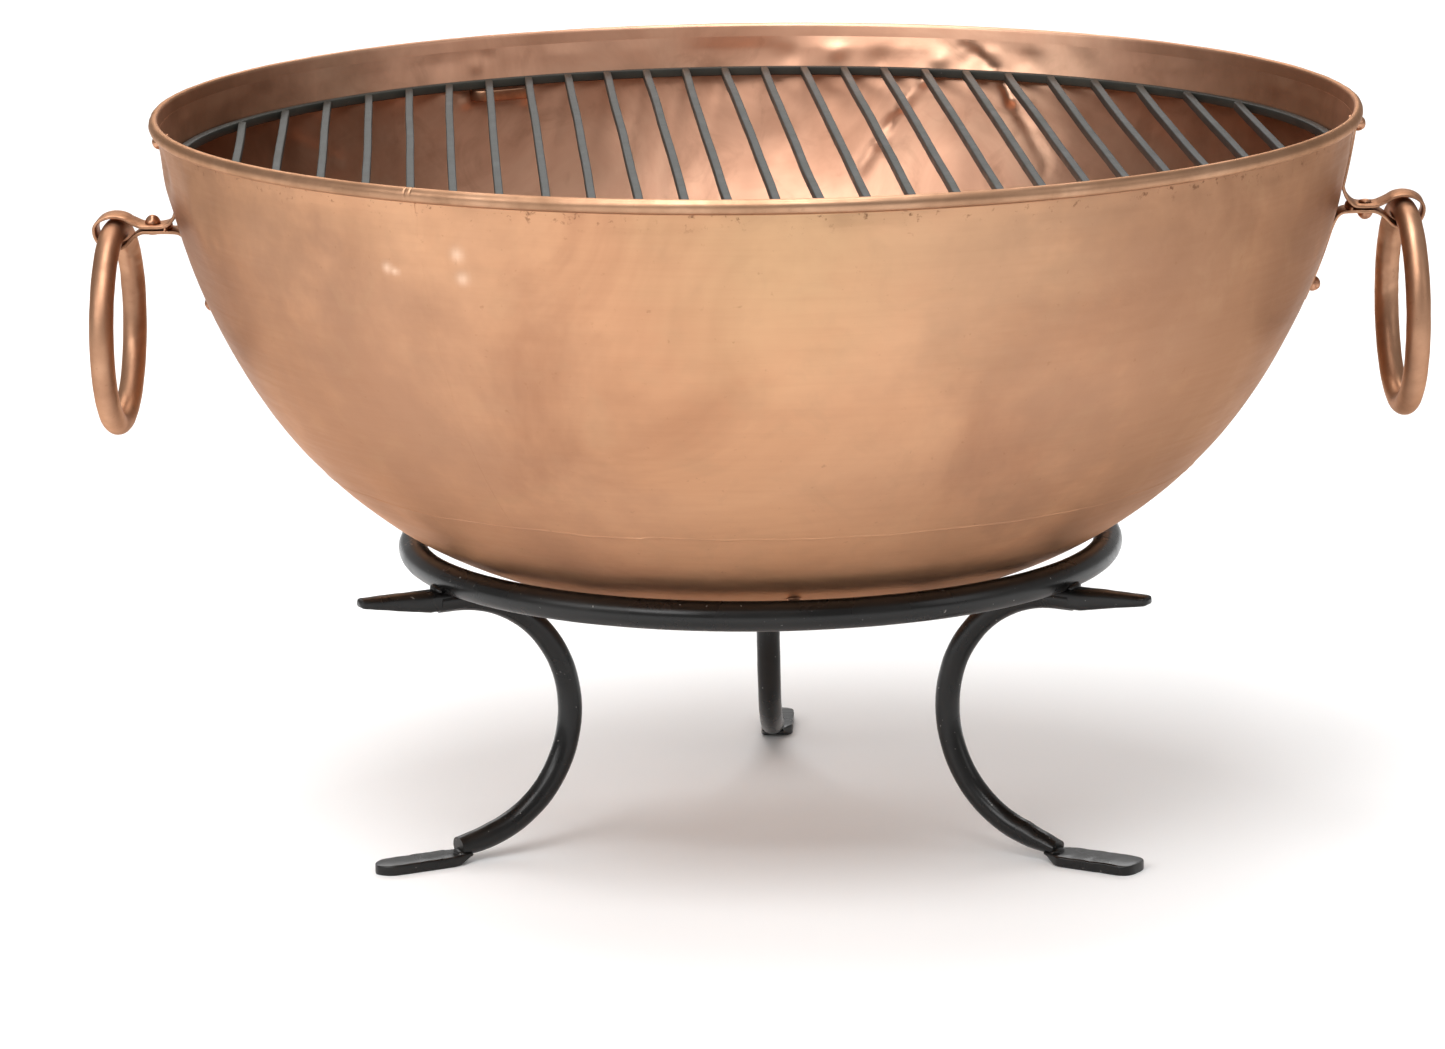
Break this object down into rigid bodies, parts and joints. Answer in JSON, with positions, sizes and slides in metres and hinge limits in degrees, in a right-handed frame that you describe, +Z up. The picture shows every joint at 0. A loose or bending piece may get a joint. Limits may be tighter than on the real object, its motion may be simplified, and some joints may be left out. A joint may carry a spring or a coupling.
{
  "type": "fire pit with grate",
  "caption": "Round copper fire bowl with a rolled rim, riveted ring handles and a lift-out bar grate, seated on a ring stand with curled legs.",
  "frame": {"origin": "on the floor, on the axis of the bowl and of the ring stand", "axes": "+Z up along the bowl's axis, +X through the right handle, +Y towards the rear leg"},
  "size_m": [0.8738, 0.79, 0.4826],
  "materials": {
    "bowl_copper": "satin beaten copper with small dents",
    "rim_copper": "satin copper, rubbed along the top of the roll",
    "fitting_copper": "satin copper strip with a darker patina in the bends",
    "rivet_copper": "hand-set copper rivets, lightly polished",
    "handle_copper": "polished round copper bar with brown patina",
    "rim_wire_steel": "plain drawn wire, hidden",
    "stand_paint": "satin black paint over hand-forged bar",
    "grate_iron": "dull dark grey heat-proof paint on square bar"
  },
  "bodies": {
    "stand": {"stand_ring": "stand_paint", "leg_rear": "stand_paint", "leg_left": "stand_paint", "leg_right": "stand_paint"},
    "bowl": {"bowl_base": "bowl_copper", "bowl_wall_1": "bowl_copper", "bowl_wall_2": "bowl_copper", "bowl_wall_3": "bowl_copper", "rim_bead": "rim_copper", "rim_wire": "rim_wire_steel", "seat_rivet_1": "rivet_copper", "seat_rivet_2": "rivet_copper", "seat_rivet_3": "rivet_copper", "grate_rest_1": "fitting_copper", "grate_rest_2": "fitting_copper", "grate_rest_3": "fitting_copper", "bracket_strap_right": "fitting_copper", "top_rivet_right": "rivet_copper", "neck_rivet_right": "rivet_copper", "low_rivet_right": "rivet_copper", "bracket_strap_left": "fitting_copper", "top_rivet_left": "rivet_copper", "neck_rivet_left": "rivet_copper", "low_rivet_left": "rivet_copper"},
    "grate": {"grate_ring": "grate_iron", "grate_bar_01": "grate_iron", "grate_bar_02": "grate_iron", "grate_bar_03": "grate_iron", "grate_bar_04": "grate_iron", "grate_bar_05": "grate_iron", "grate_bar_06": "grate_iron", "grate_bar_07": "grate_iron", "grate_bar_08": "grate_iron", "grate_bar_09": "grate_iron", "grate_bar_10": "grate_iron", "grate_bar_11": "grate_iron", "grate_bar_12": "grate_iron", "grate_bar_13": "grate_iron", "grate_bar_14": "grate_iron", "grate_bar_15": "grate_iron", "grate_bar_16": "grate_iron", "grate_bar_17": "grate_iron", "grate_bar_18": "grate_iron", "grate_bar_19": "grate_iron", "grate_bar_20": "grate_iron", "grate_bar_21": "grate_iron", "grate_bar_22": "grate_iron", "grate_bar_23": "grate_iron", "grate_bar_24": "grate_iron", "grate_bar_25": "grate_iron"},
    "handle_right": {"ring_handle_right": "handle_copper"},
    "handle_left": {"ring_handle_left": "handle_copper"}
  },
  "joints": [
    {"name": "bowl_lift", "type": "slide", "parent": "stand", "child": "bowl", "axis": [0, 0, 1], "range_m": [0, 0.25]},
    {"name": "grate_lift", "type": "slide", "parent": "bowl", "child": "grate", "axis": [0, 0, 1], "range_m": [0, 0.2]},
    {"name": "handle_right_swing", "type": "hinge", "parent": "bowl", "child": "handle_right", "pos_m": [0.423, 0, 0.4099], "axis": [0, -1, 0], "range_deg": [-36, 188]},
    {"name": "handle_left_swing", "type": "hinge", "parent": "bowl", "child": "handle_left", "pos_m": [-0.423, 0, 0.4007], "axis": [0, 1, 0], "range_deg": [-36, 188]}
  ]
}
